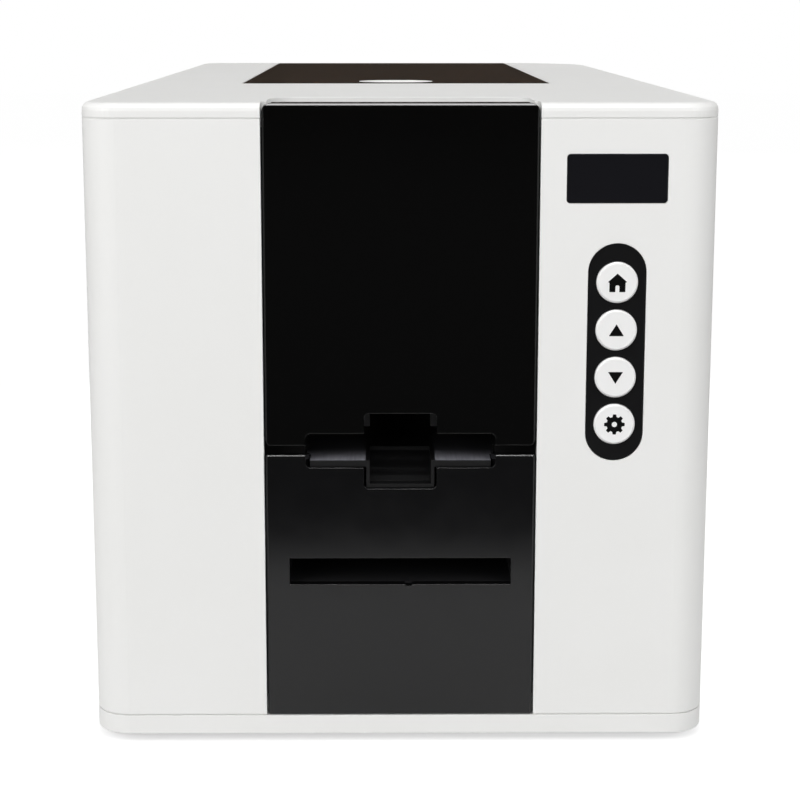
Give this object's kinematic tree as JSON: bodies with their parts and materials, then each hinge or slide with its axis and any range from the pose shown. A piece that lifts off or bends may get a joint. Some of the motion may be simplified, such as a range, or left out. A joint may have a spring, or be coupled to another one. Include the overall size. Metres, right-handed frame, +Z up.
{
  "type": "id card printer",
  "caption": "Desktop id card printer: white casing, black front door over the card hopper, card exit slot with finger notch, reject slot, display with key column and smoked top lid",
  "frame": {"origin": "centre of the footprint, on the table under the feet", "axes": "X across the front to the right as seen from the front, Y from the front to the back, Z up"},
  "size_m": [0.188, 0.3774, 0.196],
  "materials": {
    "white_shell": "fine spark-eroded texture",
    "black_gloss": "polished",
    "black_satin": "satin",
    "window": "dark polished",
    "smoked": "smoked, polished",
    "key_white": "satin",
    "black_frame": "moulded",
    "steel": "zinc plated",
    "spring_steel": "drawn wire",
    "alloy": "milled",
    "bronze": "sintered",
    "roller_rubber": "ground",
    "tacky": "tacky silicone",
    "acetal": "moulded",
    "film": "thin film",
    "board": "solder mask",
    "motor_can": "coated",
    "foot_rubber": "moulded"
  },
  "bodies": {
    "housing": {"base_tray": "white_shell", "left_cover": "white_shell", "right_cover": "white_shell", "rear_cover": "white_shell", "top_cover": "white_shell", "front_frame": "black_frame", "lower_panel": "black_satin", "card_shelf": "black_satin", "reject_chute": "black_frame", "display_window": "window", "front_board": "board", "key_strip": "black_satin", "bay_frame": "black_frame", "left_chassis": "steel", "right_chassis": "steel", "tie_rods": "steel", "bearings": "bronze", "card_hopper": "black_frame", "card_guides": "black_frame", "gate_solenoid": "motor_can", "ribbon_cassette": "acetal", "ribbon_film": "film", "motors": "motor_can", "drive_belt": "roller_rubber", "main_board": "board", "rear_ports": "black_frame", "cooling_fan": "black_frame", "rubber_feet": "foot_rubber"},
    "door": {"front_door": "black_gloss", "door_liner": "black_satin"},
    "lid": {"top_lid": "smoked", "lid_frame": "black_frame", "head_bracket": "steel", "head_springs": "spring_steel"},
    "head": {"print_head": "alloy"},
    "home_key": {"home_button": "key_white"},
    "up_key": {"up_button": "key_white"},
    "down_key": {"down_button": "key_white"},
    "settings_key": {"settings_button": "key_white"},
    "weight": {"hopper_weight": "steel"},
    "flap": {"diverter_flap": "black_frame"},
    "pick": {"pick_roller": "roller_rubber"},
    "exit": {"exit_roller": "roller_rubber"},
    "intake": {"intake_roller": "roller_rubber"},
    "cleaner": {"cleaning_roller": "tacky"},
    "transport": {"transport_roller": "roller_rubber"},
    "platen": {"platen_roller": "roller_rubber"},
    "rear": {"rear_roller": "roller_rubber"},
    "exit_idle": {"exit_pinch": "acetal"},
    "intake_idle": {"intake_pinch": "acetal"},
    "transport_idle": {"transport_pinch": "acetal"},
    "rear_idle": {"rear_pinch": "acetal"},
    "supply": {"supply_spool": "film"},
    "take_up": {"take_up_spool": "film"},
    "idler": {"idler_gear": "acetal"},
    "feeder": {"feeder_pinion": "bronze"},
    "winder": {"ribbon_pinion": "bronze"},
    "feed": {"feed_pulley": "alloy"},
    "rocker": {"rocker_switch": "black_gloss"},
    "rotor": {"fan_rotor": "black_frame"}
  },
  "joints": [
    {"name": "door_hinge", "type": "hinge", "parent": "housing", "child": "door", "pos_m": [0, -0.183, 0.097], "axis": [1, 0, 0], "range_deg": [0, 92]},
    {"name": "lid_hinge", "type": "hinge", "parent": "housing", "child": "lid", "pos_m": [0, 0.1835, 0.1915], "axis": [-1, 0, 0], "range_deg": [0, 95]},
    {"name": "head_float", "type": "slide", "parent": "lid", "child": "head", "axis": [0, 0, 1], "range_m": [0, 0.0015], "stiffness_N_per_m": 3000, "springref_m": -0.002, "deforming": ["head_springs"]},
    {"name": "home_press", "type": "slide", "parent": "housing", "child": "home_key", "axis": [0, 1, 0], "range_m": [0, 0.0008], "stiffness_N_per_m": 600, "springref_m": -0.001},
    {"name": "up_press", "type": "slide", "parent": "housing", "child": "up_key", "axis": [0, 1, 0], "range_m": [0, 0.0008], "stiffness_N_per_m": 600, "springref_m": -0.001},
    {"name": "down_press", "type": "slide", "parent": "housing", "child": "down_key", "axis": [0, 1, 0], "range_m": [0, 0.0008], "stiffness_N_per_m": 600, "springref_m": -0.001},
    {"name": "settings_press", "type": "slide", "parent": "housing", "child": "settings_key", "axis": [0, 1, 0], "range_m": [0, 0.0008], "stiffness_N_per_m": 600, "springref_m": -0.001},
    {"name": "weight_lift", "type": "slide", "parent": "housing", "child": "weight", "axis": [0, 0, 1], "range_m": [0, 0.066]},
    {"name": "flap_pivot", "type": "hinge", "parent": "housing", "child": "flap", "pos_m": [0, -0.046, 0.0881], "axis": [1, 0, 0], "range_deg": [0, 5]},
    {"name": "pick_spin", "type": "hinge", "parent": "housing", "child": "pick", "pos_m": [0, -0.104, 0.0997], "axis": [1, 0, 0], "continuous": true},
    {"name": "exit_spin", "type": "hinge", "parent": "housing", "child": "exit", "pos_m": [0, -0.12057, 0.08375], "axis": [1, 0, 0], "continuous": true},
    {"name": "intake_spin", "type": "hinge", "parent": "housing", "child": "intake", "pos_m": [0, -0.06, 0.0958], "axis": [1, 0, 0], "continuous": true},
    {"name": "idler_spin", "type": "hinge", "parent": "housing", "child": "idler", "pos_m": [0, -0.08257, 0.09136], "axis": [1, 0, 0], "continuous": true},
    {"name": "feeder_spin", "type": "hinge", "parent": "housing", "child": "feeder", "pos_m": [0, -0.08257, 0.07236], "axis": [1, 0, 0], "continuous": true},
    {"name": "cleaner_spin", "type": "hinge", "parent": "housing", "child": "cleaner", "pos_m": [0, -0.05851, 0.10846], "axis": [1, 0, 0], "continuous": true},
    {"name": "transport_spin", "type": "hinge", "parent": "housing", "child": "transport", "pos_m": [0, 0.002, 0.084], "axis": [1, 0, 0], "continuous": true},
    {"name": "platen_spin", "type": "hinge", "parent": "housing", "child": "platen", "pos_m": [0, 0.057, 0.0835], "axis": [1, 0, 0], "continuous": true},
    {"name": "rear_spin", "type": "hinge", "parent": "housing", "child": "rear", "pos_m": [0, 0.097, 0.084], "axis": [1, 0, 0], "continuous": true},
    {"name": "feed_spin", "type": "hinge", "parent": "housing", "child": "feed", "pos_m": [0, 0.057, 0.042], "axis": [1, 0, 0], "continuous": true},
    {"name": "exit_idle_spin", "type": "hinge", "parent": "housing", "child": "exit_idle", "pos_m": [0, -0.12057, 0.0949], "axis": [1, 0, 0], "continuous": true},
    {"name": "intake_idle_spin", "type": "hinge", "parent": "housing", "child": "intake_idle", "pos_m": [0, -0.06, 0.0859], "axis": [1, 0, 0], "continuous": true},
    {"name": "transport_idle_spin", "type": "hinge", "parent": "housing", "child": "transport_idle", "pos_m": [0, 0.002, 0.0949], "axis": [1, 0, 0], "continuous": true},
    {"name": "rear_idle_spin", "type": "hinge", "parent": "housing", "child": "rear_idle", "pos_m": [0, 0.097, 0.0949], "axis": [1, 0, 0], "continuous": true},
    {"name": "take_up_spin", "type": "hinge", "parent": "housing", "child": "take_up", "pos_m": [0, 0.002, 0.14], "axis": [1, 0, 0], "continuous": true},
    {"name": "supply_spin", "type": "hinge", "parent": "housing", "child": "supply", "pos_m": [0, 0.117, 0.14], "axis": [1, 0, 0], "continuous": true},
    {"name": "winder_spin", "type": "hinge", "parent": "housing", "child": "winder", "pos_m": [0, 0.018, 0.12211], "axis": [1, 0, 0], "continuous": true},
    {"name": "rocker_tip", "type": "hinge", "parent": "housing", "child": "rocker", "pos_m": [-0.034, 0.182, 0.034], "axis": [1, 0, 0], "range_deg": [-16, 0]},
    {"name": "rotor_spin", "type": "hinge", "parent": "housing", "child": "rotor", "pos_m": [0.012, 0.182, 0.07], "axis": [0, 1, 0], "continuous": true}
  ],
  "couplings": [
    {"joint": "exit_spin", "follows": "pick_spin", "ratio": -0.76923},
    {"joint": "idler_spin", "follows": "pick_spin", "ratio": -0.76923},
    {"joint": "intake_spin", "follows": "pick_spin", "ratio": 1},
    {"joint": "feeder_spin", "follows": "pick_spin", "ratio": 1.6667},
    {"joint": "platen_spin", "follows": "transport_spin", "ratio": 0.93333},
    {"joint": "rear_spin", "follows": "transport_spin", "ratio": 1},
    {"joint": "feed_spin", "follows": "transport_spin", "ratio": 1.4},
    {"joint": "winder_spin", "follows": "take_up_spin", "ratio": -3}
  ]
}
